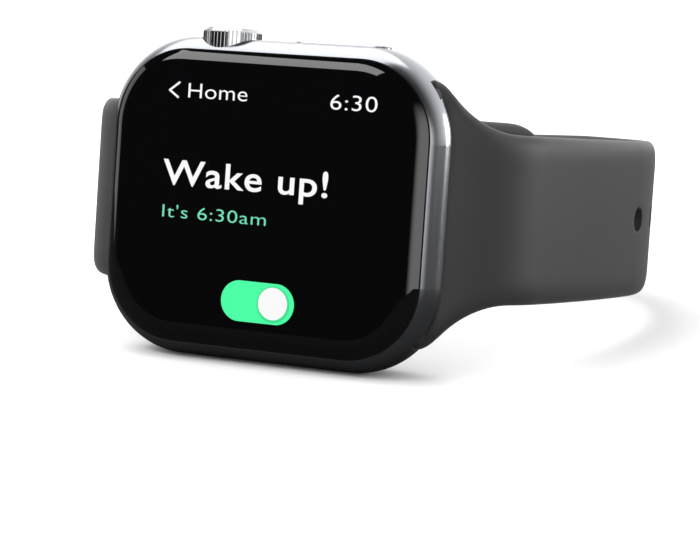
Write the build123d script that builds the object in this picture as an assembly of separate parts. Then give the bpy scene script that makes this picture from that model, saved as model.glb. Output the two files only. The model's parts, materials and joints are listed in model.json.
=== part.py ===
from build123d import *
import os
from math import acos, asin, atan2, cos, degrees, hypot, pi, radians, sin, sqrt

# A rectangular smartwatch on its closed silicone strap, standing on its side.
#
# Every piece is first drawn upright: X runs along the case, +Y from the glass to the wrist, and
# +Z towards the crown. The finished watch then leans back until the case and the rear of the
# strap both touch the table, and the middle of its base becomes the origin. Millimetres.

# ---- Case: a pebble with round front and back edges, split into glass, metal and back cover ----
CASE_LENGTH = 44.0
CASE_WIDTH = 38.0
CORNER_RADIUS = 10.8
GLASS_RISE = 0.8  # flat of the glass, in front of the seam between glass and metal
METAL_DEPTH = 8.2  # seam to the flat of the back
FRONT_ROUND = 4.0
BACK_ROUND = 4.6
SEAM_GAP = 0.12
SEAM_INSET = 0.12  # how far the seal lies under the surface
SIDE_WALL = 4.2  # beside the strap slots
LONG_WALL = 3.4  # beside the crown and the speaker
CAVITY_CORNER = 7.5
PLUG_DEPTH = 1.0  # how far the glass reaches into the case
FLOOR_DEPTH = 6.6  # seam to the case's floor
FLOOR_THICKNESS = 0.5
FLOOR_HOLE_RADIUS = 12.2
COVER_MARGIN = 5.2  # case outline to back cover outline
COVER_CORNER = 6.6
SEAL_THICKNESS = 0.1
FIT = 0.1  # round a piece that drops into another

# ---- Sensors and charger, behind the dome ----
DOME_RADIUS = 11.1
DOME_RISE = 1.7
DOME_FLAT_RADIUS = 5.4
ELECTRODE_RADIUS = 7.9
ELECTRODE_WIDTH = 1.0
ELECTRODE_DEPTH = 0.4
WINDOW_RADIUS = 4.6
WINDOW_LIP = 1.0
WINDOW_LIP_THICKNESS = 0.5
POCKET_RADIUS = 8.6
POCKET_DEPTH = 1.0
BOARD_THICKNESS = 0.5
CHIP_HEIGHT = 0.35
COIL_THICKNESS = 0.7
SHIELD_THICKNESS = 0.2
COIL_BORE_RADIUS = 8.9
MAGNET_RADIUS = 4.0
MAGNET_THICKNESS = 0.5

# ---- Crown, side button and microphone, on the upper side ----
CONTROL_DEPTH = 3.9  # seam to the axes of the crown, button and microphone
CROWN_X = -7.6
CROWN_RADIUS = 3.5
CROWN_TOP = 1.2  # above the side of the case
CROWN_SUNK = 1.4  # below it
CROWN_TEETH = 46
TOOTH_DEPTH = 0.2
CROWN_CHAMFER = 0.5
CROWN_DISC_RADIUS = 2.3
CROWN_DISC_THICKNESS = 0.5
SHAFT_RADIUS = 1.0
SHAFT_LENGTH = 4.4
SHAFT_FIT = 0.04
SLEEVE_RADIUS = 1.7
SLEEVE_REACH = 0.9  # inside the case
CROWN_TRAVEL = 0.3
PUSHROD_RADIUS = 0.42
PUSHROD_CUP_RADIUS = 1.4
PUSHROD_CUP_THICKNESS = 0.6
SWITCH_GAP = 0.35
SWITCH_THICKNESS = 0.9
BRACKET_THICKNESS = 0.25
BUTTON_X = 7.0
BUTTON_LENGTH = 12.2
BUTTON_WIDTH = 3.0
BUTTON_PROUD = 0.12
BUTTON_THICKNESS = 1.6
BUTTON_TRAVEL = 0.3
BUTTON_PIN_SPREAD = 3.6
BUTTON_PIN_RADIUS = 0.5
CONTROL_GAP = 0.08  # round the button, the releases and their pins
MICROPHONE_X = -1.9
MICROPHONE_RADIUS = 0.35

# ---- Speaker, on the lower side ----
SPEAKER_X = -2.4
SPEAKER_DEPTH = 3.2  # seam to the middle of its slots
SPEAKER_SLOT_LENGTH = 6.8
SPEAKER_SLOT_WIDTH = 1.1
SPEAKER_SLOT_PITCH = 8.4
SPEAKER_LENGTH = 16.0
SPEAKER_HEIGHT = 5.6

# ---- Inner layout ----
LAYER_GAP = 0.15
PANEL_THICKNESS = 0.5
BACKPLATE_THICKNESS = 0.3
MIDFRAME_THICKNESS = 0.9
MIDFRAME_RELIEF = 0.4  # over the coil
CROWN_ROOM = 7.2  # inside of the upper wall to the battery and board
SPEAKER_ROOM = 7.0  # inside of the lower wall to the battery and board
BATTERY_RIGHT = 2.6
BOARD_GAP = 0.6
BOSS_RADIUS = 1.1
SCREW_RADIUS = 0.5
SCREW_HEAD_RADIUS = 0.9
SCREW_HEAD_THICKNESS = 0.25
HAPTIC_LENGTH = 8.2
HAPTIC_HEIGHT = 5.0
HAPTIC_WALL = 0.3
HAPTIC_TRAVEL = 0.3

# ---- Strap slots, lug rails, catches and releases ----
SLOT_DEPTH = 4.2  # seam to the middle of the slot
MOUTH_WIDTH = 3.1
CHANNEL_WIDTH = 4.2
CHANNEL_OUTER = 1.5  # side of the case to the channel
CHANNEL_INNER = 2.9  # side of the case to the channel's floor
RAIL_FIT = 0.08
RAIL_HALF_LENGTH = 14.6
WEB_PROUD = 0.1
CATCH_RADIUS = 0.35
CATCH_FIT = 0.04
CATCH_TRAVEL = 0.35
CATCH_BODY_LENGTH = 2.2
GROOVE_DEPTH = 0.5
RELEASE_LENGTH = 4.8
RELEASE_WIDTH = 1.0
RELEASE_FLANGE = 0.45
RELEASE_FLANGE_THICKNESS = 0.15
RELEASE_PROUD = 0.05

# ---- Strap ----
STRAP_THICKNESS = 2.3
STRAP_GAP = 0.1  # between two layers of strap
STRAP_EXIT_ANGLE = 60.0  # outward from straight back, where the strap leaves the case
EXIT_DEPTH = 3.0  # seam to the outer face of the strap there
ROOT_LENGTH = 3.0  # straight strap that is hidden in the slot
SIDE_ARCS = ((16.0, 50.0), (157.0, 10.0), (35.0, 25.0))  # outer radius, and degrees turned
CORNER_ARC = (20.0, 50.0)
HALF_WIDTH_AT_LUG = 9.9
HALF_WIDTH_AT_SIDE = 9.9
HALF_WIDTH_AT_TIP = 8.3
PIN_STRAP_HALF_WIDTH = 10.9
FLARE_RADIUS = 6.5
FLARE_END = 9.0  # seam to where the flare beside the case ends
FLARE_TURN = 80.0
SIDE_DEPTH = 50.0  # seam to where the taper towards the tip begins
HOLE_RADIUS = 1.65
HOLE_COUNT = 7
HOLE_PITCH = 8.5
FIRST_HOLE = 40.5  # along the strap from the case
WORN_HOLE = 6
DIVE_RADIUS = 10.0  # of the bends where the tail goes down through its slot
TAIL_LENGTH = 9.0  # inside the loop
TAIL_SLOT_CLEARANCE = 0.3
PIN_STRAP_PAST_STUD = 7.4
TIP_ROUND = 6.5
STUD_STEM_RADIUS = 1.5
STUD_HEAD_RADIUS = 2.5
STUD_HEAD_THICKNESS = 0.9
STUD_BASE_RADIUS = 3.5
STUD_BASE_THICKNESS = 0.7

# ---- Derived ----
HALF_X = CASE_LENGTH / 2
HALF_Z = CASE_WIDTH / 2
CAVITY_X = HALF_X - SIDE_WALL
CAVITY_Z = HALF_Z - LONG_WALL
ROOM_TOP = CAVITY_Z - CROWN_ROOM
ROOM_BOTTOM = SPEAKER_ROOM - CAVITY_Z
SEAM = SEAM_GAP / 2
FLOOR_BACK = FLOOR_DEPTH + FLOOR_THICKNESS
COVER_FRONT = FLOOR_BACK + SEAL_THICKNESS
PLUG_BACK = PLUG_DEPTH - SEAM
PANEL_BACK = PLUG_BACK + PANEL_THICKNESS
BACKPLATE_BACK = PANEL_BACK + BACKPLATE_THICKNESS
BOARD_FRONT = BACKPLATE_BACK + BOARD_GAP
BOARD_BACK = BOARD_FRONT + BOARD_THICKNESS
DECK = FLOOR_DEPTH - MIDFRAME_THICKNESS  # what the inner pieces stand on
ROOM_X = CAVITY_X - FIT - 0.7
CROWN_LOW = HALF_Z - CROWN_SUNK
CROWN_HIGH = HALF_Z + CROWN_TOP
RECESS = CROWN_LOW - CROWN_TRAVEL - CONTROL_GAP
SHAFT_LOW = CROWN_LOW - SHAFT_LENGTH
BUTTON_HIGH = HALF_Z + BUTTON_PROUD
BUTTON_LOW = BUTTON_HIGH - BUTTON_THICKNESS
BUTTON_RECESS = BUTTON_LOW - BUTTON_TRAVEL - CONTROL_GAP
BUTTON_BAR_TOP = CAVITY_Z - CONTROL_GAP
BUTTON_BAR_LOW = BUTTON_BAR_TOP - 0.5
CHANNEL_FLOOR_X = HALF_X - CHANNEL_INNER
CHANNEL_OUTER_X = HALF_X - CHANNEL_OUTER
CATCH_X = (CHANNEL_FLOOR_X + CHANNEL_OUTER_X) / 2
CHANNEL_BACK = SLOT_DEPTH + CHANNEL_WIDTH / 2
GROOVE_BACK = CHANNEL_BACK + GROOVE_DEPTH
GROOVE_WIDTH = RELEASE_WIDTH + 2 * CONTROL_GAP
RELEASE_FRONT = GROOVE_BACK - 0.02 - RELEASE_FLANGE_THICKNESS
CATCH_TIP = RELEASE_FRONT - 0.02
DOME_TOP = METAL_DEPTH + DOME_RISE
WINDOW_BACK = COVER_FRONT + POCKET_DEPTH - WINDOW_LIP_THICKNESS
BAFFLE_FRONT = WINDOW_BACK - CHIP_HEIGHT - 0.05
LAYER_STEP = STRAP_THICKNESS + STRAP_GAP
HALF_STRAP = STRAP_THICKNESS / 2


# ---------------------------------------------------------------- plain shapes


def sheet(y):
    """Sketch plane at depth y that faces the wrist. Its own Y runs down, along -Z."""
    return Plane(origin=(0, y, 0), x_dir=(1, 0, 0), z_dir=(0, 1, 0))


def slab(length, width, corner, y_range):
    """Rounded plate lying in X and Z."""
    face = sheet(y_range[0]) * RectangleRounded(length, width, corner)
    return extrude(face, y_range[1] - y_range[0])


def block(x_range, y_range, z_range):
    """Box between two corners."""
    spans = (x_range, y_range, z_range)
    sizes = [high - low for low, high in spans]
    middle = [(low + high) / 2 for low, high in spans]
    return Pos(*middle) * Box(*sizes)


def bar_y(radius, y_range, x=0.0, z=0.0):
    """Round bar along Y."""
    return extrude(sheet(y_range[0]) * Pos(x, -z) * Circle(radius), y_range[1] - y_range[0])


def ring_y(outer, inner, y_range):
    """Flat ring about the Y axis."""
    return bar_y(outer, y_range) - bar_y(inner, y_range)


def bar_z(radius, z_range, x, y=CONTROL_DEPTH):
    """Round bar along Z."""
    return extrude(Plane.XY.offset(z_range[0]) * Pos(x, y) * Circle(radius), z_range[1] - z_range[0])


def ring_z(outer, inner, z_range, x):
    """Flat ring about a control's axis."""
    return bar_z(outer, z_range, x) - bar_z(inner, z_range, x)


def pill_z(length, width, z_range, x, y=CONTROL_DEPTH):
    """Round-ended bar along Z, long in X."""
    face = Plane.XY.offset(z_range[0]) * Pos(x, y) * SlotOverall(length, width)
    return extrude(face, z_range[1] - z_range[0])


def pill_y(length, width, y_range, x):
    """Round-ended bar along Y, long in Z."""
    face = sheet(y_range[0]) * Pos(x, 0) * Rot(0, 0, 90) * SlotOverall(length, width)
    return extrude(face, y_range[1] - y_range[0])


def pebble(grow=0.0):
    """Whole outer form of glass, metal and back, or the same form grown on every side."""
    size = (CASE_LENGTH + 2 * grow, CASE_WIDTH + 2 * grow, CORNER_RADIUS + grow)
    body = slab(*size, (-GLASS_RISE - grow, METAL_DEPTH + grow))
    body = fillet(body.faces().sort_by(Axis.Y)[0].edges(), FRONT_ROUND + grow)
    return fillet(body.faces().sort_by(Axis.Y)[-1].edges(), BACK_ROUND + grow)


def cavity(inset, y_range, wall=0.0):
    """Plate that fills the cavity's outline, less an inset."""
    size = (2 * (CAVITY_X - inset - wall), 2 * (CAVITY_Z - inset - wall), CAVITY_CORNER - inset - wall)
    return slab(*size, y_range)


def coil(radius, wire, length, turns):
    """Compression spring standing on the XY plane."""
    path = Helix(length / turns, length, radius)
    section = Plane(origin=path @ 0, z_dir=path % 0) * Circle(wire / 2)
    return Pos(0, 0, wire / 2) * sweep(section, path)


# ---------------------------------------------------------------- case, glass and back


def case_shell():
    """Metal body, open at the front for the glass and at the back for the sensors."""
    reach = (SEAM, METAL_DEPTH + 1)
    metal = pebble() & block((-CASE_LENGTH, CASE_LENGTH), reach, (-CASE_WIDTH, CASE_WIDTH))
    metal -= cavity(0, (0, FLOOR_DEPTH))
    metal -= bar_y(FLOOR_HOLE_RADIUS, (0, METAL_DEPTH))
    metal -= cover_outline(-FIT, (FLOOR_BACK, METAL_DEPTH + 1))
    metal -= bar_z(CROWN_RADIUS + CONTROL_GAP, (RECESS, CROWN_HIGH), CROWN_X)
    metal -= bar_z(SLEEVE_RADIUS, (0, CROWN_HIGH), CROWN_X)
    hole = (BUTTON_LENGTH + 2 * CONTROL_GAP, BUTTON_WIDTH + 2 * CONTROL_GAP)
    metal -= pill_z(*hole, (BUTTON_RECESS, BUTTON_HIGH), BUTTON_X)
    for x in button_pins():
        metal -= bar_z(BUTTON_PIN_RADIUS + CONTROL_GAP, (0, BUTTON_HIGH), x)
    metal -= bar_z(MICROPHONE_RADIUS, (0, CROWN_HIGH), MICROPHONE_X)
    for x in speaker_slots():
        metal -= pill_z(SPEAKER_SLOT_LENGTH, SPEAKER_SLOT_WIDTH, (-CASE_WIDTH, 0), x, SPEAKER_DEPTH)
    for side in (1, -1):
        metal -= strap_slot(side)
        metal -= release_hole(side)
    return metal


def cover_outline(inset, y_range):
    """Back cover's plate, less an inset."""
    length = CASE_LENGTH - 2 * (COVER_MARGIN + inset)
    width = CASE_WIDTH - 2 * (COVER_MARGIN + inset)
    return slab(length, width, COVER_CORNER - inset, y_range)


def strap_slot(side):
    """Undercut slot that a lug rail slides along, with the groove that its catch runs in."""
    z_range = (-CASE_WIDTH, CASE_WIDTH)
    mouth = span_y(MOUTH_WIDTH)
    cut = block((CHANNEL_OUTER_X - 0.01, CASE_LENGTH), mouth, z_range)
    cut += block((CHANNEL_FLOOR_X, CHANNEL_OUTER_X), span_y(CHANNEL_WIDTH), z_range)
    groove = (CATCH_X - GROOVE_WIDTH / 2, CATCH_X + GROOVE_WIDTH / 2)
    cut += block(groove, (CHANNEL_BACK - 0.01, GROOVE_BACK), z_range)
    return on_side(cut, side)


def span_y(width):
    """Depth range of a given width about the middle of the slot."""
    return (SLOT_DEPTH - width / 2, SLOT_DEPTH + width / 2)


def on_side(shape, side):
    """The shape on the right, or its mirror image on the left."""
    return shape if side > 0 else mirror(shape, Plane.YZ)


def release_hole(side):
    hole = (RELEASE_LENGTH + 2 * CONTROL_GAP, RELEASE_WIDTH + 2 * CONTROL_GAP)
    return on_side(pill_y(*hole, (GROOVE_BACK - 0.05, METAL_DEPTH + 1), CATCH_X), side)


def button_pins():
    return (BUTTON_X - BUTTON_PIN_SPREAD, BUTTON_X + BUTTON_PIN_SPREAD)


def speaker_slots():
    return (SPEAKER_X - SPEAKER_SLOT_PITCH / 2, SPEAKER_X + SPEAKER_SLOT_PITCH / 2)


def front_crystal():
    """Glass that carries the case's front round over to a flat, with a plug inside the case."""
    reach = (-GLASS_RISE - 1, -SEAM)
    glass = pebble() & block((-CASE_LENGTH, CASE_LENGTH), reach, (-CASE_WIDTH, CASE_WIDTH))
    return glass + cavity(FIT, (-SEAM - 0.01, PLUG_BACK))


def seam_outline(inset):
    """Outline of glass and metal at the seam, less an inset."""
    below = FRONT_ROUND - GLASS_RISE
    pulled_in = FRONT_ROUND - sqrt(FRONT_ROUND**2 - below**2) + inset
    return (CASE_LENGTH - 2 * pulled_in, CASE_WIDTH - 2 * pulled_in, CORNER_RADIUS - pulled_in)


def display_gasket():
    return slab(*seam_outline(SEAM_INSET), (-SEAM, SEAM)) - cavity(0, (-SEAM, SEAM))


def dome():
    """Low round dome with a flat middle."""
    root = METAL_DEPTH - 0.5
    with BuildPart() as turned:
        with BuildSketch(Plane.XY):
            with BuildLine():
                base = Polyline((0, DOME_TOP), (0, root), (DOME_RADIUS, root), (DOME_RADIUS, METAL_DEPTH))
                flat = Line((0, DOME_TOP), (DOME_FLAT_RADIUS, DOME_TOP))
                TangentArc(flat @ 1, base @ 1, tangent=(1, 0))
            make_face()
        revolve(axis=Axis.Y)
    return turned.part


def electrode_groove():
    outer, inner = ELECTRODE_RADIUS + ELECTRODE_WIDTH / 2, ELECTRODE_RADIUS - ELECTRODE_WIDTH / 2
    return ring_y(outer, inner, (DOME_TOP - 2 * ELECTRODE_DEPTH, DOME_TOP))


def window():
    """Clear window with a lip behind the crystal."""
    lip = (WINDOW_BACK, WINDOW_BACK + WINDOW_LIP_THICKNESS)
    return bar_y(WINDOW_RADIUS, (WINDOW_BACK, DOME_TOP)) + bar_y(WINDOW_RADIUS + WINDOW_LIP, lip)


def back_crystal():
    """Ceramic back with its dome, a hole for the window and a groove for the electrode."""
    back = cover_outline(0, (COVER_FRONT, METAL_DEPTH)) + dome()
    back -= bar_y(POCKET_RADIUS, (0, COVER_FRONT + POCKET_DEPTH))
    return back - window() - electrode_groove()


def back_gasket():
    return cover_outline(FIT, (FLOOR_BACK, COVER_FRONT)) - bar_y(FLOOR_HOLE_RADIUS, (0, METAL_DEPTH))


# ---------------------------------------------------------------- display and inner frame


def midframe():
    """Tray on the case's floor, with bosses for the board and a relief over the coil."""
    tray = cavity(FIT, (DECK, FLOOR_DEPTH))
    tray -= bar_y(FLOOR_HOLE_RADIUS, (FLOOR_DEPTH - MIDFRAME_RELIEF, FLOOR_DEPTH))
    for x, z in board_corners():
        tray += bar_y(BOSS_RADIUS, (BOARD_BACK, DECK + 0.01), x, z)
        tray -= bar_y(SCREW_RADIUS, (BOARD_BACK, DECK), x, z)
    return tray


def board_edges():
    """X and Z spans of the system board, beside the battery."""
    return (BATTERY_RIGHT + BOARD_GAP, ROOM_X), (ROOM_BOTTOM, ROOM_TOP)


def board_corners():
    """Screw places of the system board."""
    (left, right), (low, high) = board_edges()
    inset = BOSS_RADIUS + 0.1
    return [(x, z) for x in (left + inset, right - inset) for z in (low + inset, high - inset)]


def system_board():
    x_range, z_range = board_edges()
    board = block(x_range, (BOARD_FRONT, BOARD_BACK), z_range)
    for x, z in board_corners():
        board -= bar_y(SCREW_RADIUS, (0, DECK), x, z)
    return board


def board_screws():
    screws = []
    for x, z in board_corners():
        head = bar_y(SCREW_HEAD_RADIUS, (BOARD_FRONT - SCREW_HEAD_THICKNESS, BOARD_FRONT), x, z)
        screws.append(head + bar_y(SCREW_RADIUS, (BOARD_FRONT - 0.01, DECK), x, z))
    return Compound(screws)


def board_middle():
    (left, right), (low, high) = board_edges()
    return (left + right) / 2, (low + high) / 2


def system_package():
    """Main chip, on the back of the board."""
    x, z = board_middle()
    return block((x - 4, x + 4), (BOARD_BACK, BOARD_BACK + 1.1), (z - 4, z + 4))


def memory_chips():
    """Two flat chips on the front of the board."""
    x, z = board_middle()
    front = (BOARD_FRONT - 0.3, BOARD_FRONT)
    chips = [block((x - 3, x + 3), front, (z + k - 1.5, z + k + 1.5)) for k in (-2.2, 2.2)]
    return Compound(chips)


def display_connector():
    """Folded flex between the display and the board."""
    x, z = board_middle()
    return block((x - 2, x + 2), (BACKPLATE_BACK, BOARD_FRONT), (z - 7.6, z - 6.4))


def battery():
    return block((-ROOM_X, BATTERY_RIGHT), (BOARD_FRONT, DECK), (ROOM_BOTTOM, ROOM_TOP))


# ---------------------------------------------------------------- haptic motor and speaker


def haptic_edges():
    """X and Z spans of the haptic motor, in the lower right corner."""
    left = SPEAKER_X + SPEAKER_LENGTH / 2 + 0.7
    high = ROOM_BOTTOM - 0.5
    return (left, left + HAPTIC_LENGTH), (high - HAPTIC_HEIGHT, high)


def haptic_housing():
    (left, right), (low, high) = haptic_edges()
    box = block((left, right), (BOARD_FRONT, DECK), (low, high))
    w = HAPTIC_WALL
    return box - block((left + w, right - w), (BOARD_FRONT + w, DECK - w), (low + w, high - w))


def haptic_mass():
    """Weight that shakes from side to side."""
    (left, right), (low, high) = haptic_edges()
    w = HAPTIC_WALL
    room = w + 1.3
    y_range = (BOARD_FRONT + w + 0.2, DECK - w - 0.2)
    return block((left + room, right - room), y_range, (low + w + 0.2, high - w - 0.2))


def haptic_springs():
    """Pair of coil springs between the weight and its housing."""
    (left, right), (low, high) = haptic_edges()
    y, z = (BOARD_FRONT + DECK) / 2, (low + high) / 2
    spring = Pos(0, 0, 0.01) * coil(0.9, 0.16, 1.12, 3)
    springs = [Pos(left + HAPTIC_WALL, y, z) * Rot(0, 90, 0) * spring]
    springs.append(Pos(right - HAPTIC_WALL, y, z) * Rot(0, -90, 0) * spring)
    return Compound(springs)


def speaker_edges():
    low = -CAVITY_Z + 0.3
    return (SPEAKER_X - SPEAKER_LENGTH / 2, SPEAKER_X + SPEAKER_LENGTH / 2), (low, low + SPEAKER_HEIGHT)


def speaker_housing():
    """Box that is open towards its slots in the case."""
    (left, right), (low, high) = speaker_edges()
    box = block((left, right), (BOARD_FRONT, DECK), (low, high))
    box -= block((left + 0.6, right - 0.6), (BOARD_FRONT + 0.5, DECK - 0.5), (low - 1, high - 0.8))
    return box


def speaker_diaphragm():
    """Oval plate across the housing."""
    (left, right), (low, high) = speaker_edges()
    middle = (low + high) / 2
    return block((left + 0.6, right - 0.6), (BOARD_FRONT + 0.5, DECK - 0.5), (middle, middle + 0.2))


def speaker_mesh():
    """Gauze behind the speaker slots."""
    (left, right), _ = speaker_edges()
    low = -CAVITY_Z
    return block((left + 0.6, right - 0.6), (SLOT_DEPTH - 1.6, SLOT_DEPTH + 1.0), (low, low + 0.3))


# ---------------------------------------------------------------- sensors and charger


def sensor_baffle():
    """Black plate with a round opening for each light and light sensor."""
    plate = bar_y(POCKET_RADIUS - FIT, (BAFFLE_FRONT, WINDOW_BACK))
    for chip in (sensor_leds(FIT), photodiodes(FIT)):
        plate -= chip
    return plate


def chip_group(size, places, grow=0.0):
    """Square chips on the back of the sensor board."""
    half = size / 2 + grow
    deep = (BAFFLE_FRONT, BAFFLE_FRONT + CHIP_HEIGHT + grow)
    return Compound([block((x - half, x + half), deep, (z - half, z + half)) for x, z in places])


def sensor_leds(grow=0.0):
    return chip_group(0.8, [(0, 0), (1.2, 1.2), (-1.2, 1.2), (1.2, -1.2), (-1.2, -1.2)], grow)


def photodiodes(grow=0.0):
    return chip_group(1.2, [(3.2, 0), (-3.2, 0), (0, 3.2), (0, -3.2)], grow)


def sensor_board():
    return bar_y(POCKET_RADIUS - FIT, (BAFFLE_FRONT - BOARD_THICKNESS, BAFFLE_FRONT))


def alignment_magnet():
    back = BAFFLE_FRONT - BOARD_THICKNESS
    return bar_y(MAGNET_RADIUS, (back - MAGNET_THICKNESS, back))


def charge_coil():
    return ring_y(FLOOR_HOLE_RADIUS - FIT, COIL_BORE_RADIUS, (COVER_FRONT - COIL_THICKNESS, COVER_FRONT))


def ferrite_shield():
    back = COVER_FRONT - COIL_THICKNESS
    return ring_y(FLOOR_HOLE_RADIUS - FIT, COIL_BORE_RADIUS, (back - SHIELD_THICKNESS, back))


# ---------------------------------------------------------------- crown


def crown_cap():
    """Knurled wheel with a chamfered rim and a sunk face."""
    wheel = bar_z(CROWN_RADIUS, (CROWN_LOW, CROWN_HIGH), CROWN_X)
    wheel = chamfer(wheel.edges().filter_by(GeomType.CIRCLE).sort_by(Axis.Z)[-1], CROWN_CHAMFER)
    notch = bar_z(pi * CROWN_RADIUS / CROWN_TEETH / 2, (CROWN_LOW, CROWN_HIGH), 0, 0)
    for i in range(CROWN_TEETH):
        a = 2 * pi * i / CROWN_TEETH
        reach = CROWN_RADIUS + pi * CROWN_RADIUS / CROWN_TEETH / 2 - TOOTH_DEPTH
        wheel -= Pos(CROWN_X + reach * cos(a), CONTROL_DEPTH + reach * sin(a)) * notch
    return wheel - crown_disc()


def crown_disc():
    """Dark insert in the crown's face."""
    return bar_z(CROWN_DISC_RADIUS, (CROWN_HIGH - CROWN_DISC_THICKNESS, CROWN_HIGH), CROWN_X)


def crown_shaft():
    """Hollow-ended shaft with grooves for the seals and the clip."""
    shaft = bar_z(SHAFT_RADIUS, (SHAFT_LOW, CROWN_LOW), CROWN_X)
    shaft -= bar_z(PUSHROD_RADIUS + SHAFT_FIT, (SHAFT_LOW, SHAFT_LOW + 1.2), CROWN_X)
    for z in seal_heights():
        shaft -= ring_z(SHAFT_RADIUS, SHAFT_RADIUS - 0.25, (z, z + 0.4), CROWN_X)
    return shaft - ring_z(SHAFT_RADIUS, SHAFT_RADIUS - 0.2, clip_span(), CROWN_X)


def seal_heights():
    return (CROWN_LOW - 1.3, CROWN_LOW - 2.1)


def crown_seals():
    """Two rubber rings in the shaft's grooves."""
    outer, inner = SHAFT_RADIUS + SHAFT_FIT / 2, SHAFT_RADIUS - 0.25
    return Compound([ring_z(outer, inner, (z, z + 0.4), CROWN_X) for z in seal_heights()])


def clip_span():
    top = CAVITY_Z - SLEEVE_REACH - 0.05
    return (top - 0.25, top)


def crown_clip():
    """Open ring that keeps the shaft in its sleeve."""
    ring = ring_z(SHAFT_RADIUS + 0.45, SHAFT_RADIUS - 0.2, clip_span(), CROWN_X)
    mouth = (CROWN_X - 0.6, CROWN_X + 0.6)
    return ring - block(mouth, (CONTROL_DEPTH - 3, CONTROL_DEPTH), clip_span())


def crown_sleeve():
    """Bearing that the case wall holds."""
    return ring_z(SLEEVE_RADIUS, SHAFT_RADIUS + SHAFT_FIT, (CAVITY_Z - SLEEVE_REACH, RECESS), CROWN_X)


def pushrod_low():
    return SHAFT_LOW - 0.02 - PUSHROD_CUP_THICKNESS


def crown_pushrod():
    """Cup under the shaft that lets it turn, with a pin inside the shaft."""
    cup = bar_z(PUSHROD_CUP_RADIUS, (pushrod_low(), SHAFT_LOW - 0.02), CROWN_X)
    return cup + bar_z(PUSHROD_RADIUS, (SHAFT_LOW - 0.03, SHAFT_LOW + 1.1), CROWN_X)


def crown_switch():
    high = pushrod_low() - SWITCH_GAP
    y_range = (CONTROL_DEPTH - 1.2, CONTROL_DEPTH + 1.2)
    return block((CROWN_X - 1.2, CROWN_X + 1.2), y_range, (high - SWITCH_THICKNESS, high))


def control_bracket(x, half, low, high):
    """Angle that stands on the midframe and backs a switch from below."""
    foot = block((x - half, x + half), (DECK - BRACKET_THICKNESS, DECK), (low - BRACKET_THICKNESS, high))
    wall = block((x - half, x + half), (CONTROL_DEPTH - 1.2, DECK), (low - BRACKET_THICKNESS, low))
    return foot + wall


def crown_bracket():
    low = pushrod_low() - SWITCH_GAP - SWITCH_THICKNESS
    return control_bracket(CROWN_X, 2.2, low, SHAFT_LOW + 1.4)


def crown_encoder():
    """Optical chip that reads the shaft."""
    y_range = (CONTROL_DEPTH + SHAFT_RADIUS + 0.1, DECK - BRACKET_THICKNESS)
    return block((CROWN_X - 0.9, CROWN_X + 0.9), y_range, (SHAFT_LOW + 0.1, SHAFT_LOW + 0.8))


# ---------------------------------------------------------------- side button and microphone


def side_button():
    """Flush button with two pins through the case wall."""
    size = (BUTTON_LENGTH, BUTTON_WIDTH)
    button = pill_z(*size, (BUTTON_LOW, BUTTON_HIGH), BUTTON_X)
    button = fillet(button.faces().sort_by(Axis.Z)[-1].edges(), 0.25)
    for x in button_pins():
        button += bar_z(BUTTON_PIN_RADIUS, (BUTTON_BAR_TOP, BUTTON_LOW + 0.01), x)
    return button


def button_bar():
    """Strip inside the case that joins the pins."""
    length = 2 * BUTTON_PIN_SPREAD + 2
    return pill_z(length, 1.6, (BUTTON_BAR_LOW, BUTTON_BAR_TOP), BUTTON_X)


def button_switch():
    high = BUTTON_BAR_LOW - SWITCH_GAP
    y_range = (CONTROL_DEPTH - 1.2, CONTROL_DEPTH + 1.2)
    return block((BUTTON_X - 1.4, BUTTON_X + 1.4), y_range, (high - SWITCH_THICKNESS, high))


def button_bracket():
    high = BUTTON_BAR_LOW - SWITCH_GAP
    return control_bracket(BUTTON_X, 5.0, high - SWITCH_THICKNESS, high)


def microphone():
    """Small can on the midframe, just inside its hole."""
    high = CAVITY_Z - 0.1
    return block((MICROPHONE_X - 1.0, MICROPHONE_X + 1.0), (CONTROL_DEPTH - 0.9, DECK), (high - 1.2, high))


def microphone_mesh():
    return bar_z(0.9, (CAVITY_Z - 0.1, CAVITY_Z), MICROPHONE_X)


# ---------------------------------------------------------------- lug rails, catches and releases


def shaped_to_case(shape, grow):
    """A shape with its ends trimmed flush with the case's outline."""
    return shape & pebble(grow)


def lug_rail(side):
    """Stiff flange that slides in the channel, with a pocket for the catch."""
    x_range = (CHANNEL_FLOOR_X + RAIL_FIT, CHANNEL_OUTER_X - RAIL_FIT)
    y_range = span_y(CHANNEL_WIDTH - 2 * RAIL_FIT)
    rail = block(x_range, y_range, (-RAIL_HALF_LENGTH, RAIL_HALF_LENGTH))
    rail = shaped_to_case(rail, 0)
    rail -= bar_y(CATCH_RADIUS + CATCH_FIT, (catch_floor(), METAL_DEPTH), CATCH_X)
    return on_side(rail, side)


def catch_floor():
    """Bottom of the catch's pocket."""
    return CATCH_TIP - CATCH_BODY_LENGTH - CATCH_TRAVEL - 0.5


def lug_catch(side):
    """Pin that reaches into the groove and is pushed back by the release."""
    return on_side(bar_y(CATCH_RADIUS, (CATCH_TIP - CATCH_BODY_LENGTH, CATCH_TIP), CATCH_X), side)


def catch_spring(side):
    length = CATCH_TIP - CATCH_BODY_LENGTH - catch_floor() - 0.1
    spring = coil(0.22, 0.1, length, 4)
    return on_side(Pos(CATCH_X, catch_floor() + 0.01, 0) * Rot(-90, 0, 0) * spring, side)


def release_button(side):
    """Button on the back whose stem meets the catch."""
    stem = pill_y(RELEASE_LENGTH, RELEASE_WIDTH, (RELEASE_FRONT, METAL_DEPTH + 1), CATCH_X)
    stem = shaped_to_case(stem, RELEASE_PROUD)
    flange = (RELEASE_LENGTH + 2 * RELEASE_FLANGE, RELEASE_WIDTH)
    return on_side(stem + pill_y(*flange, (RELEASE_FRONT, GROOVE_BACK - 0.02), CATCH_X), side)


# ---------------------------------------------------------------- strap path


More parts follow.
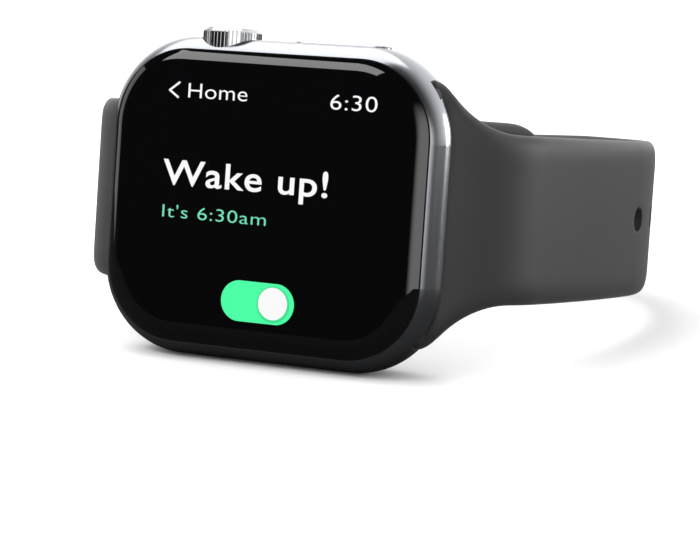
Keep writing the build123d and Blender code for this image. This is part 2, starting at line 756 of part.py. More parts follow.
def walk(start, heading, arcs):
    """Arcs of (radius, degrees) in X and Y, each tangent to the last. A heading is in degrees from
    +Y towards +X. A positive radius bends towards -X and a negative one away. Each span comes back
    as (centre, radius, first heading, last heading)."""
    spans = []
    x, y = start
    for radius, turn in arcs:
        before = radians(heading)
        centre = (x - radius * cos(before), y + radius * sin(before))
        heading -= turn if radius > 0 else -turn
        spans.append((centre, radius, degrees(before), heading))
        x, y = on_span(spans[-1], heading)
    return spans


def on_span(span, heading, offset=0.0):
    """Point of a span at a heading, moved away from the wrist by an offset."""
    centre, radius = span[0], span[1] + offset
    return (centre[0] + radius * cos(radians(heading)), centre[1] - radius * sin(radians(heading)))


def span_length(span):
    return abs(span[1] * radians(span[3] - span[2]))


def station(spans, distance):
    """Point and heading at a distance along the spans."""
    for span in spans:
        if distance <= span_length(span):
            heading = span[2] + (span[3] - span[2]) * distance / span_length(span)
            return on_span(span, heading), heading
        distance -= span_length(span)
    return on_span(spans[-1], spans[-1][3]), spans[-1][3]


def exit_point():
    """Middle of the strap's thickness where it leaves the case."""
    out = radians(STRAP_EXIT_ANGLE)
    return (HALF_X - HALF_STRAP * cos(out), EXIT_DEPTH + HALF_STRAP * sin(out))


def outer_arcs():
    """Arcs of the outer layer's middle line, from the case to the start of the back."""
    return [(radius - HALF_STRAP, turn) for radius, turn in (*SIDE_ARCS, CORNER_ARC)]


def back_span(arcs):
    """Arc over the middle of the back that follows the given arcs: radius and degrees."""
    last = walk(exit_point(), STRAP_EXIT_ANGLE, arcs)[-1]
    return on_span(last, last[3])[0] / cos(radians(last[3])), 2 * (90 + last[3])


def holed_path():
    """Middle line of the strap with holes, to the tip of its tucked tail."""
    arcs = outer_arcs()
    radius, turn = back_span(arcs)
    inner = radius - 2 * LAYER_STEP
    # The dive joins two concentric layers with two equal bends. The centres of the layers and of
    # the bends form a triangle, which gives the angles.
    a, b, c = radius - DIVE_RADIUS, inner + DIVE_RADIUS, 2 * DIVE_RADIUS
    turn_in = 180 - degrees(acos((a * a + c * c - b * b) / (2 * a * c)))
    turn_out = degrees(acos((b * b + c * c - a * a) / (2 * b * c)))
    corner = arcs[-1][0] - 2 * LAYER_STEP
    arcs.append((radius, turn - turn_in + turn_out))
    arcs.append((DIVE_RADIUS, turn_in))
    arcs.append((-DIVE_RADIUS, turn_out))
    arcs.append((corner, degrees(TAIL_LENGTH / corner)))
    return walk(exit_point(), STRAP_EXIT_ANGLE, arcs)


def pin_strap_path():
    """Middle line of the strap with the stud, drawn on the right. The last two arcs of its side
    differ from the other strap's, so that it arrives at the corner one layer further in."""
    arcs = outer_arcs()
    spans = walk(exit_point(), STRAP_EXIT_ANGLE, arcs)
    radius, turn = back_span(arcs)
    corner = radians(spans[-1][2])
    shift_x, shift_y = -LAYER_STEP * cos(corner), LAYER_STEP * sin(corner)
    (ax, ay), (bx, by) = [growth(span) for span in spans[-3:-1]]
    scale = ax * by - bx * ay
    arcs[-3] = (arcs[-3][0] + (shift_x * by - bx * shift_y) / scale, arcs[-3][1])
    arcs[-2] = (arcs[-2][0] + (ax * shift_y - shift_x * ay) / scale, arcs[-2][1])
    arcs[-1] = (arcs[-1][0] - LAYER_STEP, arcs[-1][1])
    _, stud_heading = stud_station()
    past_middle = 90 + stud_heading + degrees(PIN_STRAP_PAST_STUD / radius)
    arcs.append((radius - LAYER_STEP, turn / 2 + past_middle))
    return walk(exit_point(), STRAP_EXIT_ANGLE, arcs)


def growth(span):
    """How far a span's end moves for each millimetre added to its radius."""
    before, after = radians(span[2]), radians(span[3])
    return cos(after) - cos(before), sin(before) - sin(after)


def stud_station():
    return station(holed_path(), FIRST_HOLE + (WORN_HOLE - 1) * HOLE_PITCH)


# ---------------------------------------------------------------- straps


def ribbon(spans, half, z_half=30.0):
    """Strap along its spans, still without its outline."""
    first, last = spans[0][2], spans[-1][3]
    out = radians(first)
    root_x, root_y = exit_point()
    root = (root_x - ROOT_LENGTH * sin(out), root_y - ROOT_LENGTH * cos(out))
    faces = [(root[0] + s * half * cos(out), root[1] - s * half * sin(out)) for s in (-1, 1)]
    edges = [Line(*faces)]
    for side in (-half, half):
        start = faces[0] if side < 0 else faces[1]
        edges.append(Line(start, on_span(spans[0], first, side)))
        for span in spans:
            middle = (span[2] + span[3]) / 2
            edges.append(ThreePointArc(*[on_span(span, h, side) for h in (span[2], middle, span[3])]))
    edges.append(Line(on_span(spans[-1], last, -half), on_span(spans[-1], last, half)))
    face = make_face(Wire(edges))
    return Pos(0, 0, -z_half) * extrude(face, 2 * z_half)


def beside_case(half_width, far_half_width):
    """Outline of a strap from the side of the case, as far as its taper: a flare, then straight."""
    slope = atan2(half_width - far_half_width, SIDE_DEPTH - FLARE_END)
    centre = (FLARE_END + FLARE_RADIUS * sin(slope), half_width + FLARE_RADIUS * cos(slope))
    swing = [slope + radians(FLARE_TURN) * k for k in (0, 0.5, 1)]
    arc = [(centre[0] - FLARE_RADIUS * sin(a), centre[1] - FLARE_RADIUS * cos(a)) for a in swing]
    with BuildSketch(Plane.YZ) as outline:
        with BuildLine():
            ThreePointArc(*arc)
            Polyline(arc[0], (SIDE_DEPTH, far_half_width), (SIDE_DEPTH, 0), (arc[2][0], 0), arc[2])
        make_face()
        mirror(about=Plane.XZ)
    return Pos(-CASE_LENGTH * 2, 0, 0) * extrude(outline.sketch, 4 * CASE_LENGTH, dir=(1, 0, 0))


def behind(points):
    """Outline of a strap round the back: half-widths at places along X."""
    upper = [(x, w) for x, w in points]
    lower = [(x, -w) for x, w in reversed(points)]
    face = make_face(Plane.XZ * Polyline(*upper, *lower, close=True))
    return Pos(0, SIDE_DEPTH, 0) * extrude(face, 3 * CASE_LENGTH, dir=(0, 1, 0))


def slot_web():
    """Part of the strap that fills the mouth of its slot and stands out past the case's corners."""
    x_range = (CHANNEL_OUTER_X - RAIL_FIT, HALF_X + WEB_PROUD)
    return block(x_range, span_y(MOUTH_WIDTH - 2 * RAIL_FIT), (-RAIL_HALF_LENGTH, RAIL_HALF_LENGTH))


def case_sweep(grow):
    """The case's side profile drawn out along the slots, which a sliding strap has to clear."""
    middle = (METAL_DEPTH - GLASS_RISE) / 2
    profile = Pos(0, middle) * Rectangle(CASE_LENGTH + 2 * grow, METAL_DEPTH + GLASS_RISE + 2 * grow)
    profile = fillet(profile.vertices().group_by(Axis.Y)[0], FRONT_ROUND + grow)
    profile = fillet(profile.vertices().group_by(Axis.Y)[-1], BACK_ROUND + grow)
    return extrude(profile, CASE_WIDTH, both=True)


def across_strap(point, heading):
    """Plane at a station whose normal points away from the wrist."""
    out = (cos(radians(heading)), -sin(radians(heading)), 0)
    return Plane(origin=(*point, 0), x_dir=(0, 0, 1), z_dir=out)


def strap_body(spans, half_width, side_half_width, back_points):
    """Strap on the right with its root in the case."""
    strip = ribbon(spans, HALF_STRAP)
    near = (strip - case_sweep(RAIL_FIT) + slot_web()) & beside_case(half_width, side_half_width)
    far = strip & behind(back_points)
    return near + far


def strap_right():
    """Strap with holes. Its tail dives through the other strap."""
    spans = holed_path()
    corner_x = on_span(spans[3], spans[3][3])[0]
    tip_x = on_span(spans[-1], spans[-1][3])[0]
    reach = 2 * CASE_LENGTH
    points = [(reach, HALF_WIDTH_AT_SIDE), (corner_x, HALF_WIDTH_AT_SIDE)]
    points += [(tip_x, HALF_WIDTH_AT_TIP), (-reach, HALF_WIDTH_AT_TIP)]
    strap = strap_body(spans, HALF_WIDTH_AT_LUG, HALF_WIDTH_AT_SIDE, points)
    strap = round_tip(strap, spans, HALF_WIDTH_AT_TIP)
    for i in range(HOLE_COUNT):
        where = across_strap(*station(spans, FIRST_HOLE + i * HOLE_PITCH))
        strap -= extrude(where * Circle(HOLE_RADIUS), 2 * STRAP_THICKNESS, both=True)
    return strap


def round_tip(strap, spans, half_width):
    """The strap with the two corners at its end rounded."""
    last = spans[-1][3]
    tip = across_strap(on_span(spans[-1], last), last)
    kept = Pos(0, TIP_ROUND) * RectangleRounded(2 * half_width, 2.02 * TIP_ROUND, TIP_ROUND)
    corners = Pos(0, TIP_ROUND / 2 - 1) * Rectangle(4 * half_width, TIP_ROUND + 2) - kept
    return strap - extrude(tip * corners, HALF_STRAP + 1.5, both=True)


def strap_left(tail):
    """Strap with the stud, drawn on the right and mirrored. The other strap's tail passes it."""
    spans = pin_strap_path()
    reach = 2 * CASE_LENGTH
    points = [(reach, PIN_STRAP_HALF_WIDTH), (-reach, PIN_STRAP_HALF_WIDTH)]
    strap = strap_body(spans, PIN_STRAP_HALF_WIDTH, PIN_STRAP_HALF_WIDTH, points)
    strap = mirror(round_tip(strap, spans, PIN_STRAP_HALF_WIDTH), Plane.YZ)
    return strap - tail_slot(tail, strap) - clasp_stud()


def stud_place():
    """Middle of the inner strap's thickness, under the worn hole, and the heading there."""
    (x, y), heading = stud_station()
    a = radians(heading)
    return (x - LAYER_STEP * cos(a), y + LAYER_STEP * sin(a)), heading


def tail_slot(tail, strap):
    """Rounded opening as long as the crossing of the two straps, with clearance."""
    dive = holed_path()[-3]
    crossing = on_span(dive, dive[3])
    where = across_strap(crossing, -90 - degrees(asin(crossing[0] / back_radius())))
    crossing = where.to_local_coords(tail & strap).bounding_box()
    height = crossing.size.X + 2 * TAIL_SLOT_CLEARANCE
    length = crossing.size.Y + 2 * TAIL_SLOT_CLEARANCE
    opening = where * Pos(crossing.center().X, crossing.center().Y) * RectangleRounded(height, length, 1.0)
    return extrude(opening, 3 * STRAP_THICKNESS, both=True)


def back_radius():
    return back_span(outer_arcs())[0]


def clasp_stud():
    """Metal stud: a base inside the loop, a stem through both straps and a head outside."""
    point, heading = stud_place()
    where = across_strap(point, heading)
    outside = HALF_STRAP + LAYER_STEP
    stem = extrude(where.offset(-HALF_STRAP) * Circle(STUD_STEM_RADIUS), outside + HALF_STRAP + STRAP_GAP)
    head = extrude(where.offset(outside + STRAP_GAP) * Circle(STUD_HEAD_RADIUS), STUD_HEAD_THICKNESS)
    head = fillet(head.edges(), STUD_HEAD_THICKNESS * 0.4)
    underside = where.offset(-HALF_STRAP - STUD_BASE_THICKNESS)
    base = extrude(underside * Circle(STUD_BASE_RADIUS), STUD_BASE_THICKNESS)
    return stem + head + base


# ---------------------------------------------------------------- resting pose


def lean():
    """Degrees that the watch leans back, so that the case's lower back edge and the rear of the
    inner strap's lower edge both touch the table."""
    spans = pin_strap_path()
    rear = (on_span(spans[-1], -90, HALF_STRAP)[1], -PIN_STRAP_HALF_WIDTH)
    round_y, round_z = METAL_DEPTH - BACK_ROUND, BACK_ROUND - HALF_Z
    along, up = rear[0] - round_y, rear[1] - round_z
    return degrees(atan2(up, along) + asin(BACK_ROUND / hypot(along, up)))


def watch():
    """Every piece by name, upright."""
    right = strap_right()
    pieces = {
        "case_shell": case_shell(),
        "front_crystal": front_crystal(),
        "display_gasket": display_gasket(),
        "display_panel": cavity(FIT, (PLUG_BACK, PANEL_BACK), 0.4),
        "display_backplate": cavity(FIT, (PANEL_BACK, BACKPLATE_BACK), 0.6),
        "display_connector": display_connector(),
        "midframe": midframe(),
        "system_board": system_board(),
        "board_screws": board_screws(),
        "system_package": system_package(),
        "memory_chips": memory_chips(),
        "battery": battery(),
        "haptic_housing": haptic_housing(),
        "haptic_mass": haptic_mass(),
        "haptic_springs": haptic_springs(),
        "speaker_housing": speaker_housing(),
        "speaker_diaphragm": speaker_diaphragm(),
        "speaker_mesh": speaker_mesh(),
        "back_gasket": back_gasket(),
        "back_crystal": back_crystal(),
        "electrode_ring": dome() & electrode_groove(),
        "sensor_window": window(),
        "sensor_baffle": sensor_baffle(),
        "sensor_leds": sensor_leds(),
        "photodiodes": photodiodes(),
        "sensor_board": sensor_board(),
        "alignment_magnet": alignment_magnet(),
        "charge_coil": charge_coil(),
        "ferrite_shield": ferrite_shield(),
        "crown_cap": crown_cap(),
        "crown_disc": crown_disc(),
        "crown_shaft": crown_shaft(),
        "crown_seals": crown_seals(),
        "crown_clip": crown_clip(),
        "crown_sleeve": crown_sleeve(),
        "crown_pushrod": crown_pushrod(),
        "crown_switch": crown_switch(),
        "crown_bracket": crown_bracket(),
        "crown_encoder": crown_encoder(),
        "side_button": side_button(),
        "button_bar": button_bar(),
        "button_switch": button_switch(),
        "button_bracket": button_bracket(),
        "microphone": microphone(),
        "microphone_mesh": microphone_mesh(),
        "strap_right": right,
        "strap_left": strap_left(right),
        "clasp_stud": clasp_stud(),
    }
    for name, side in (("left", -1), ("right", 1)):
        pieces[f"lug_rail_{name}"] = lug_rail(side)
        pieces[f"lug_catch_{name}"] = lug_catch(side)
        pieces[f"catch_spring_{name}"] = catch_spring(side)
        pieces[f"release_{name}"] = release_button(side)
    return pieces


def resting_place(pieces):
    """Where the upright watch goes: leant back, with the middle of its base at the origin."""
    leaning = Rot(-lean(), 0, 0)
    box = Compound([leaning * piece for piece in pieces.values()]).bounding_box()
    return Pos(-box.center().X, -box.center().Y, -box.min.Z) * leaning


os.makedirs("parts", exist_ok=True)
watch_pieces = watch()
place = resting_place(watch_pieces)
for piece_name, piece in watch_pieces.items():
    export_step(place * piece, f"parts/{piece_name}.step")
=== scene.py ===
import json
from math import acos, atan2, ceil, cos, degrees, hypot, pi, radians, sin, sqrt

import bpy
from mathutils import Matrix, Vector


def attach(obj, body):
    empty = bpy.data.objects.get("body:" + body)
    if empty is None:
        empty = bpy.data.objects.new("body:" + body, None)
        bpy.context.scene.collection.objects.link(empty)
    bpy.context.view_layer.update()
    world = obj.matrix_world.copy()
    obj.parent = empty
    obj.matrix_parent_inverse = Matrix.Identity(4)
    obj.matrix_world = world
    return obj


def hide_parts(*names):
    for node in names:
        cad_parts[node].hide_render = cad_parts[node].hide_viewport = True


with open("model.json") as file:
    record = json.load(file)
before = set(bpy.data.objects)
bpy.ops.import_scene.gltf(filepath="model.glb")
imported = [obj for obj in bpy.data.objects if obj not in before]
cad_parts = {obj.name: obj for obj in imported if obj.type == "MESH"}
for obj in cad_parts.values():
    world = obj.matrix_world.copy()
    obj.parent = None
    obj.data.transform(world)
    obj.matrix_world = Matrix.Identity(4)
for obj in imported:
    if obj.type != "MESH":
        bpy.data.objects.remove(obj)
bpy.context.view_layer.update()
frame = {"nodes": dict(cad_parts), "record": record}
NODES = frame["nodes"]
MM = 0.001

# ---------------------------------------------------------------- where the upright watch lies
# Pieces are drawn upright, in millimetres: X along the case, +Y from the glass to the wrist, +Z to
# the crown, with the seam between glass and metal at Y = 0. STAND leans them back into the frame.

MOUNTS = {m["name"]: m for m in frame["record"]["mounts"]}
GLASS_RISE = 0.8
WRIST_WARDS = Vector(MOUNTS["charging_seat"]["axis"])
ALONG = Vector((1, 0, 0))
CROWN_WARDS = ALONG.cross(WRIST_WARDS)
SEAM_CENTRE = Vector(MOUNTS["display_face"]["pos_m"]) + WRIST_WARDS * GLASS_RISE * MM
STAND = Matrix((ALONG, WRIST_WARDS, CROWN_WARDS)).transposed().to_4x4()
STAND.translation = SEAM_CENTRE


def placed(point):
    """A point of the upright watch, in the frame."""
    return STAND @ (Vector(point) * MM)


# ---------------------------------------------------------------- modelling helpers


def only(*objects):
    """Selects just these objects, and makes the last one active."""
    bpy.ops.object.select_all(action="DESELECT")
    for o in objects:
        o.select_set(True)
    bpy.context.view_layer.objects.active = objects[-1]


def shaped(name):
    """Names the active object, whose mesh has just been added."""
    piece = bpy.context.object
    piece.name = piece.data.name = name
    return piece


def settle(piece, location=(0, 0, 0), turn=None):
    """Moves a piece drawn in millimetres at the origin to its place in the frame, inside its mesh."""
    only(piece)
    spin = turn.to_4x4() if turn else Matrix.Identity(4)
    piece.matrix_world = STAND @ Matrix.Scale(MM, 4) @ Matrix.Translation(Vector(location)) @ spin
    bpy.ops.object.transform_apply(location=True, rotation=True, scale=True)
    return piece


def finish_with(piece, kind, **settings):
    """Adds a modifier and applies it."""
    only(piece)
    modifier = piece.modifiers.new(kind.title(), kind)
    for key, value in settings.items():
        setattr(modifier, key, value)
    bpy.ops.object.modifier_apply(modifier=modifier.name)


def smooth(piece, angle=35):
    only(piece)
    bpy.ops.object.shade_smooth_by_angle(angle=radians(angle))


def dress(piece, material):
    piece.data.materials.clear()
    piece.data.materials.append(material)


def stands_for(piece, body, slot_name, material, *nodes):
    """Gives a new piece its body and finish, and hides the CAD nodes that it takes the place of."""
    dress(piece, material)
    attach(piece, body)
    if nodes:
        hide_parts(*nodes)
    return piece


# ---------------------------------------------------------------- strap path, as in the frame

STRAP_THICKNESS = 2.3
STRAP_GAP = 0.1
LAYER_STEP = STRAP_THICKNESS + STRAP_GAP
HALF_STRAP = STRAP_THICKNESS / 2
HALF_X = 22.0
EXIT_ANGLE = 60.0
EXIT_DEPTH = 3.0
ROOT_RADIUS = 1.2
SIDE_ARCS = ((16.0, 50.0), (157.0, 10.0), (35.0, 25.0))
CORNER_ARC = (20.0, 50.0)
HOLE_PITCH = 8.5
FIRST_HOLE = 40.5
HOLE_COUNT = 7
WORN_HOLE = 6
HOLE_RADIUS = 1.65
DIVE_RADIUS = 10.0
TAIL_LENGTH = 9.0
PAST_STUD = 7.4
FLARE_RADIUS = 11.1
FLARE_LENGTH = 8.5
MOST_FLARE = 15.6
MOST_OF_ARC = 0.98  # share of the flare's arc that is used
SIDE_DEPTH = 50.0
TIP_ROUND = 6.5
HALF_WIDTH_AT_SIDE = 9.9
HALF_WIDTH_AT_TIP = 8.3
PIN_HALF_WIDTH = 10.9


def walk(start, heading, arcs):
    """Arcs of (radius, degrees), each tangent to the last, as (centre, radius, heading, heading).
    Headings are in degrees from +Y towards +X."""
    spans = []
    x, y = start
    for radius, turn in arcs:
        before = radians(heading)
        centre = (x - radius * cos(before), y + radius * sin(before))
        heading -= turn if radius > 0 else -turn
        spans.append((centre, radius, degrees(before), heading))
        x, y = on_span(spans[-1], heading)
    return spans


def on_span(span, heading, offset=0.0):
    centre, radius = span[0], span[1] + offset
    return centre[0] + radius * cos(radians(heading)), centre[1] - radius * sin(radians(heading))


def span_length(span):
    return abs(span[1] * radians(span[3] - span[2]))


def station(spans, distance):
    """Point and heading at a distance along the spans. Before them the strap turns into its slot."""
    if distance < 0:
        return root_station(spans, -distance)
    for span in spans:
        if distance <= span_length(span):
            heading = span[2] + (span[3] - span[2]) * distance / span_length(span)
            return on_span(span, heading), heading
        distance -= span_length(span)
    return on_span(spans[-1], spans[-1][3]), spans[-1][3]


def root_station(spans, back):
    """Point and heading of the root, which bends round to lie straight in the slot."""
    exit_heading = spans[0][2]
    x, y = on_span(spans[0], exit_heading)
    bend = (90 - exit_heading) * pi / 180 * ROOT_RADIUS
    turned = exit_heading + degrees(min(back, bend) / ROOT_RADIUS)
    a, b = radians(exit_heading), radians(turned)
    x += ROOT_RADIUS * (cos(b) - cos(a))
    y -= ROOT_RADIUS * (sin(b) - sin(a))
    return (x - max(back - bend, 0), y), turned


def exit_point():
    out = radians(EXIT_ANGLE)
    return HALF_X - HALF_STRAP * cos(out), EXIT_DEPTH + HALF_STRAP * sin(out)


def outer_arcs():
    return [(radius - HALF_STRAP, turn) for radius, turn in (*SIDE_ARCS, CORNER_ARC)]


def back_span(arcs):
    last = walk(exit_point(), EXIT_ANGLE, arcs)[-1]
    return on_span(last, last[3])[0] / cos(radians(last[3])), 2 * (90 + last[3])


def holed_path():
    """Middle line of the strap with holes: round the wrist, down through the slot, and along."""
    arcs = outer_arcs()
    radius, turn = back_span(arcs)
    inner = radius - 2 * LAYER_STEP
    a, b, c = radius - DIVE_RADIUS, inner + DIVE_RADIUS, 2 * DIVE_RADIUS
    turn_in = 180 - degrees(acos((a * a + c * c - b * b) / (2 * a * c)))
    turn_out = degrees(acos((b * b + c * c - a * a) / (2 * b * c)))
    corner = arcs[-1][0] - 2 * LAYER_STEP
    arcs.append((radius, turn - turn_in + turn_out))
    arcs.append((DIVE_RADIUS, turn_in))
    arcs.append((-DIVE_RADIUS, turn_out))
    arcs.append((corner, degrees(TAIL_LENGTH / corner)))
    return walk(exit_point(), EXIT_ANGLE, arcs)


def growth(span):
    before, after = radians(span[2]), radians(span[3])
    return cos(after) - cos(before), sin(before) - sin(after)


def pin_path():
    """Middle line of the strap with the stud, drawn on the right, one layer further in at the back."""
    arcs = outer_arcs()
    spans = walk(exit_point(), EXIT_ANGLE, arcs)
    radius, turn = back_span(arcs)
    corner = radians(spans[-1][2])
    shift_x, shift_y = -LAYER_STEP * cos(corner), LAYER_STEP * sin(corner)
    (ax, ay), (bx, by) = [growth(span) for span in spans[-3:-1]]
    scale = ax * by - bx * ay
    arcs[-3] = (arcs[-3][0] + (shift_x * by - bx * shift_y) / scale, arcs[-3][1])
    arcs[-2] = (arcs[-2][0] + (ax * shift_y - shift_x * ay) / scale, arcs[-2][1])
    arcs[-1] = (arcs[-1][0] - LAYER_STEP, arcs[-1][1])
    stud_heading = station(holed_path(), FIRST_HOLE + (WORN_HOLE - 1) * HOLE_PITCH)[1]
    past_middle = 90 + stud_heading + degrees(PAST_STUD / radius)
    arcs.append((radius - LAYER_STEP, turn / 2 + past_middle))
    return walk(exit_point(), EXIT_ANGLE, arcs)


def flare(distance, half_width, most):
    """Half-width of a strap at a distance along it, wider next to the case, where it meets the corners."""
    ahead = max(0, min(FLARE_LENGTH - distance, FLARE_RADIUS * MOST_OF_ARC))
    return min(half_width + FLARE_RADIUS - sqrt(FLARE_RADIUS**2 - ahead**2), most)


# ---------------------------------------------------------------- straps

CELL = HOLE_PITCH / 6
ROOT_CELLS = 2
EDGE_ROUND = 2.2
EDGE_STEPS = (0.0, 0.12, 0.45, 1.05, EDGE_ROUND)
EDGE_LEAST = 0.1
ROW_GAP = 0.05
INNER_ROWS = 10
TIP_COLUMNS = 8
EVEN_HALF_WIDTH = 6.0
HOLE_OPENING = 1.2
HOLE_REACH = 2.0
HOLE_SWELL = 1.06  # makes up for what subdivision takes off a hole
SLOT_HALF = 4.1
SLOT_HALF_WIDTH = 9.05
SLOT_SEARCH = 60.0
BRIM_CREASE = 0.75
BRIM_DEPTH = 1.0  # brims nearer to the outline than this stay soft
UPRIGHT = 0.3  # a face whose normal rises less than this is a wall
STRAP_SMOOTH = 60


def lerp(a, b, t):
    return a + (b - a) * t


def path_length(spans):
    return sum(span_length(span) for span in spans)


def column_places(length, start):
    """Distances of the sheet's columns, closer together round the tip."""
    count = round((length - TIP_ROUND - start) / CELL)
    places = [start + (length - TIP_ROUND - start) * i / count for i in range(count + 1)]
    for i in range(1, TIP_COLUMNS + 1):
        places.append(length - TIP_ROUND * (1 - sin(pi / 2 * i / TIP_COLUMNS)))
    return places


def row_places(half_width, inner_edge):
    """Rows across half a strap: evenly to its rounded edge, then closer together."""
    rows = [inner_edge * i / (INNER_ROWS // 2) for i in range(INNER_ROWS // 2 + 1)]
    outer = [half_width - step for step in reversed(EDGE_STEPS)]
    rows += [row for row in outer if row > inner_edge + ROW_GAP]
    return rows


def flat_sheet(name, places, rows):
    """Grid whose X is the distance along the strap, and whose Y runs across it."""
    bpy.ops.object.select_all(action="DESELECT")
    across = [-r for r in reversed(rows[1:])] + rows
    bpy.ops.mesh.primitive_grid_add(x_subdivisions=len(places) - 1, y_subdivisions=len(across) - 1, size=2)
    sheet = shaped(name)
    for v in sheet.data.vertices:
        column = round((v.co.x + 1) / 2 * (len(places) - 1))
        row = round((v.co.y + 1) / 2 * (len(across) - 1))
        v.co = (places[column], across[row], 0)
    return sheet


def delete_faces(piece, chosen):
    """Removes the faces whose middle the test picks."""
    only(piece)
    for part in (piece.data.vertices, piece.data.edges):
        for element in part:
            element.select = False
    for face in piece.data.polygons:
        face.select = chosen(face.center)
    bpy.ops.object.mode_set(mode="EDIT")
    bpy.ops.mesh.select_mode(type="FACE")
    bpy.ops.mesh.delete(type="FACE")
    bpy.ops.object.mode_set(mode="OBJECT")


def tip_share(distance, length, half_width):
    """Share of the half-width that is left near a rounded tip."""
    into = distance - (length - TIP_ROUND)
    if into <= 0:
        return 1.0
    return (half_width - TIP_ROUND + sqrt(max(TIP_ROUND**2 - into**2, 0))) / half_width


def thicken(sheet, from_edge):
    """Gives a flat strap its thickness, which falls away in a long curve to every outer edge."""
    finish_with(sheet, "SOLIDIFY", thickness=STRAP_THICKNESS, offset=0)
    for v in sheet.data.vertices:
        into = min(max(from_edge(v.co) / EDGE_ROUND, 0), 1)
        v.co.z *= max(sqrt(1 - (1 - into) ** 2), EDGE_LEAST)
    crease = sheet.data.attributes.new("crease_edge", "FLOAT", "EDGE")
    for e in sheet.data.edges:
        a, b = (sheet.data.vertices[i].co for i in e.vertices)
        inside = from_edge(a) > BRIM_DEPTH and from_edge(b) > BRIM_DEPTH
        level = abs(a.z - b.z) < 0.01
        crease.data[e.index].value = BRIM_CREASE if level and inside and is_brim(sheet, e) else 0.0
    finish_with(sheet, "SUBSURF", levels=2, render_levels=2)


BRIMS = {}


def is_brim(sheet, edge):
    """Is this edge where a face of the strap meets the wall of a hole or slot?"""
    if sheet.name not in BRIMS:
        flat = {}
        for face in sheet.data.polygons:
            for key in face.edge_keys:
                flat.setdefault(key, []).append(abs(face.normal.z) < UPRIGHT)
        BRIMS[sheet.name] = {key for key, upright in flat.items() if any(upright) and not all(upright)}
    return edge.key in BRIMS[sheet.name]


def bend(strap, spans, mirrored=False):
    """Bends a flat strap along its path: X becomes distance, and Z the way out from the wrist."""
    side = -1 if mirrored else 1
    for v in strap.data.vertices:
        (x, y), heading = station(spans, v.co.x)
        out, rise = radians(heading), v.co.z
        v.co = (side * (x + rise * cos(out)), y - rise * sin(out), v.co.y)
    only(strap)
    bpy.ops.object.mode_set(mode="EDIT")
    bpy.ops.mesh.select_all(action="SELECT")
    bpy.ops.mesh.normals_make_consistent(inside=False)
    bpy.ops.object.mode_set(mode="OBJECT")


def holed_strap():
    spans = holed_path()
    length = path_length(spans)
    corner_x = on_span(spans[3], spans[3][3])[0]
    tip_x = on_span(spans[-1], spans[-1][3])[0]

    def half_width(distance):
        (x, y), _ = station(spans, distance)
        if y < SIDE_DEPTH or x > corner_x:
            return flare(distance, HALF_WIDTH_AT_SIDE, MOST_FLARE)
        return lerp(HALF_WIDTH_AT_SIDE, HALF_WIDTH_AT_TIP, (corner_x - x) / (corner_x - tip_x))

    places = column_places(length, FIRST_HOLE - (ceil(FIRST_HOLE / CELL) + ROOT_CELLS) * CELL)
    places = [snap_to_holes(p) for p in places]
    strap = flat_sheet("strap_with_holes", places, row_places(HALF_WIDTH_AT_SIDE, EVEN_HALF_WIDTH))
    holes = [FIRST_HOLE + i * HOLE_PITCH for i in range(HOLE_COUNT)]
    delete_faces(strap, lambda c: any(abs(c.x - h) < CELL for h in holes) and abs(c.y) < HOLE_OPENING)
    outline = widen(strap, half_width, HALF_WIDTH_AT_SIDE, length)
    for hole in holes:
        round_hole(strap, hole)
    thicken(strap, outline)
    bend(strap, spans)
    smooth(strap, STRAP_SMOOTH)
    return settle(strap)


def widen(strap, half_width, drawn, length):
    """Gives the sheet its width at every place, and returns how far a point is from its outline."""

    def edge_at(distance):
        wide = half_width(distance)
        return wide * tip_share(distance, length, wide)

    for v in strap.data.vertices:
        wide = edge_at(v.co.x)
        from_side = drawn - abs(v.co.y)
        if from_side <= EDGE_ROUND:
            v.co.y = (wide - from_side * min(wide / drawn, 1)) * (1 if v.co.y > 0 else -1)
        else:
            v.co.y *= (wide - EDGE_ROUND) / (drawn - EDGE_ROUND)
    return lambda point: min(edge_at(point.x) - abs(point.y), length - point.x)


def snap_to_holes(distance):
    """Nearest place of a column that lines up with the holes, where there are holes."""
    last = FIRST_HOLE + (HOLE_COUNT - 1) * HOLE_PITCH + 2 * CELL
    if distance > last:
        return distance
    return FIRST_HOLE + round((distance - FIRST_HOLE) / CELL) * CELL


def round_hole(strap, hole):
    """Moves the eight corners round a hole onto its circle."""
    for v in strap.data.vertices:
        dx, dy = v.co.x - hole, v.co.y
        reach = hypot(dx, dy)
        if 0.1 < reach < HOLE_REACH:
            angle = round(atan2(dy, dx) / (pi / 4)) * pi / 4
            v.co.x = hole + HOLE_SWELL * HOLE_RADIUS * cos(angle)
            v.co.y = HOLE_SWELL * HOLE_RADIUS * sin(angle)


def pin_strap():
    spans = pin_path()
    length = path_length(spans)
    tail = holed_path()
    slot_x = abs(on_span(tail[-3], tail[-3][3])[0])
    trial = [s / 10 for s in range(int(SLOT_SEARCH * 10), int(length * 10))]
    middle = min(trial, key=lambda s: abs(station(spans, s)[0][0] - slot_x))

    places = column_places(length, -ROOT_CELLS * CELL)
    for edge in (middle - SLOT_HALF, middle + SLOT_HALF):
        nearest = min(range(len(places)), key=lambda i: abs(places[i] - edge))
        places[nearest] = edge
    strap = flat_sheet("strap_with_stud", places, row_places(PIN_HALF_WIDTH, SLOT_HALF_WIDTH))
    delete_faces(strap, lambda c: abs(c.x - middle) < SLOT_HALF and abs(c.y) < SLOT_HALF_WIDTH)

    thicken(strap, widen(strap, lambda distance: PIN_HALF_WIDTH, PIN_HALF_WIDTH, length))
    bend(strap, spans, mirrored=True)
    smooth(strap, STRAP_SMOOTH)
    return settle(strap)


# ---------------------------------------------------------------- surface effects


